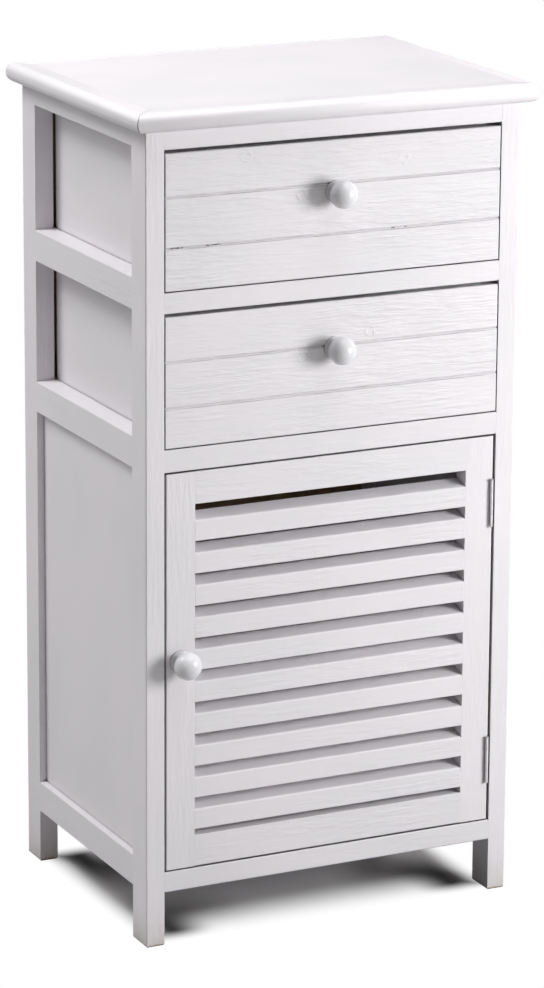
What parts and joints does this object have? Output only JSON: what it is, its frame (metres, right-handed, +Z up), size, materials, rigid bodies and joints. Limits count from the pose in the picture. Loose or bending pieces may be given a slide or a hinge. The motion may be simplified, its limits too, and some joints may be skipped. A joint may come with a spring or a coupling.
{
  "type": "louvred door cabinet",
  "caption": "Tall narrow free-standing cabinet on short legs: plank-fronted drawers above a cupboard with a hinged louvred door, open ladder-frame sides and a rounded overhanging top.",
  "frame": {"origin": "on the floor, under the middle of the whole cabinet's box including its knobs", "axes": "+Z up; the front with the knobs faces -Y; +X is to the right of a person facing the front"},
  "size_m": [0.4, 0.313, 0.775],
  "materials": {
    "painted_timber": "satin white brushed paint over light timber",
    "painted_top": "satin white paint, smooth",
    "painted_plank": "satin white paint, grain showing as relief",
    "painted_slat": "satin white paint, light grain",
    "painted_panel": "matt white paint on thin board",
    "bare_timber": "unpainted sawn light timber",
    "knob_paint": "gloss white paint on turned wood",
    "painted_steel": "white paint over pressed steel",
    "bare_steel": "zinc plated",
    "catch_plastic": "moulded white plastic"
  },
  "bodies": {
    "carcass": {"back_panel": "painted_panel", "back_rail_bottom": "painted_timber", "back_rail_top": "painted_timber", "door_catch": "catch_plastic", "drawer_runners": "painted_timber", "drawer_stops": "bare_timber", "floor_board": "painted_panel", "floor_cleats": "bare_timber", "front_rail_bottom": "painted_timber", "front_rail_middle": "painted_timber", "front_rail_top": "painted_timber", "front_rail_upper": "painted_timber", "hinge_frame_leaves": "painted_steel", "hinge_pins": "bare_steel", "inner_shelf": "painted_timber", "nosing_back": "painted_top", "nosing_front": "painted_top", "nosing_left": "painted_top", "nosing_right": "painted_top", "post_front_left": "painted_timber", "post_front_right": "painted_timber", "post_rear_left": "painted_timber", "post_rear_right": "painted_timber", "shelf_cleats": "bare_timber", "side_panel_left": "painted_panel", "side_panel_right": "painted_panel", "side_rail_left_bottom": "painted_timber", "side_rail_left_middle": "painted_timber", "side_rail_left_top": "painted_timber", "side_rail_left_upper": "painted_timber", "side_rail_right_bottom": "painted_timber", "side_rail_right_middle": "painted_timber", "side_rail_right_top": "painted_timber", "side_rail_right_upper": "painted_timber", "top_board": "painted_top"},
    "upper_drawer": {"upper_drawer_back": "painted_timber", "upper_drawer_bottom": "painted_panel", "upper_drawer_knob": "knob_paint", "upper_drawer_plank_bottom": "painted_plank", "upper_drawer_plank_middle": "painted_plank", "upper_drawer_plank_top": "painted_plank", "upper_drawer_side_left": "painted_timber", "upper_drawer_side_right": "painted_timber"},
    "lower_drawer": {"lower_drawer_back": "painted_timber", "lower_drawer_bottom": "painted_panel", "lower_drawer_knob": "knob_paint", "lower_drawer_plank_bottom": "painted_plank", "lower_drawer_plank_middle": "painted_plank", "lower_drawer_plank_top": "painted_plank", "lower_drawer_side_left": "painted_timber", "lower_drawer_side_right": "painted_timber"},
    "door": {"catch_plate": "bare_steel", "door_knob": "knob_paint", "door_rail_bottom": "painted_timber", "door_rail_top": "painted_timber", "door_stile_hinge_side": "painted_timber", "door_stile_knob_side": "painted_timber", "hinge_door_leaves": "painted_steel", "louvre_slats": "painted_slat"}
  },
  "joints": [
    {"name": "upper_drawer_slide", "type": "slide", "parent": "carcass", "child": "upper_drawer", "axis": [0, -1, 0], "range_m": [0, 0.18]},
    {"name": "lower_drawer_slide", "type": "slide", "parent": "carcass", "child": "lower_drawer", "axis": [0, -1, 0], "range_m": [0, 0.18]},
    {"name": "door_hinge", "type": "hinge", "parent": "carcass", "child": "door", "pos_m": [0.1634, -0.1308, 0.2562], "axis": [0, 0, 1], "range_deg": [0, 170]}
  ]
}
